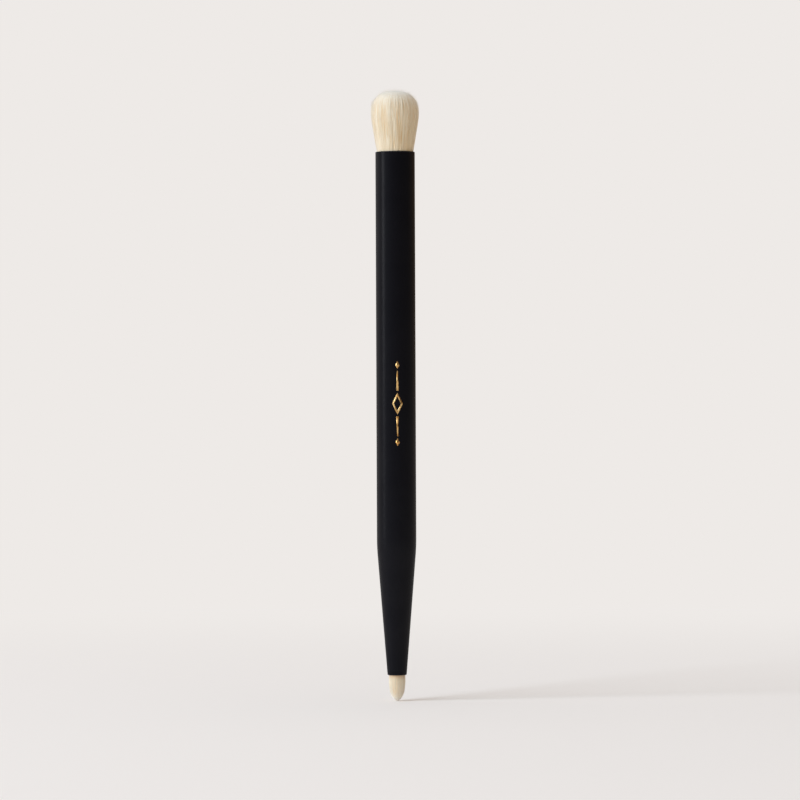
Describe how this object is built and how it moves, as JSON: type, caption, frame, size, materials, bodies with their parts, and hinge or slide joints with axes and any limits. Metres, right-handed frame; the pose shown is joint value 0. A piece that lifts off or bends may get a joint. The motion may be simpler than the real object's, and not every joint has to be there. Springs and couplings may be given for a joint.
{
  "type": "double-ended eyeshadow brush",
  "caption": "Slim matt black barrel that tapers to a nose, with a fluffy domed blending tuft on top and a small bullet-shaped smudging tuft at the nose, for eye make-up.",
  "frame": {"origin": "the tip of the small tuft, on the brush's axis, where the standing brush touches the table", "axes": "+Z along the axis, up from the small tuft to the large one; the brush is round, and -Y is the side that faces the picture's camera"},
  "size_m": [0.0106, 0.0106, 0.1295],
  "materials": {
    "barrel_black": "matte",
    "core_wood": "matte",
    "cup_aluminium": "satin",
    "binding_thread": "matte",
    "root_resin": "gloss",
    "tuft_fibre": "matte",
    "foil_gold": "satin"
  },
  "bodies": {
    "root": {"barrel": "barrel_black", "core_dowel": "core_wood", "blending_cup": "cup_aluminium", "blending_root_binding": "binding_thread", "blending_root_plug": "root_resin", "blending_tuft": "tuft_fibre", "smudger_cup": "cup_aluminium", "smudger_root_binding": "binding_thread", "smudger_root_plug": "root_resin", "smudger_tuft": "tuft_fibre"}
  },
  "joints": []
}
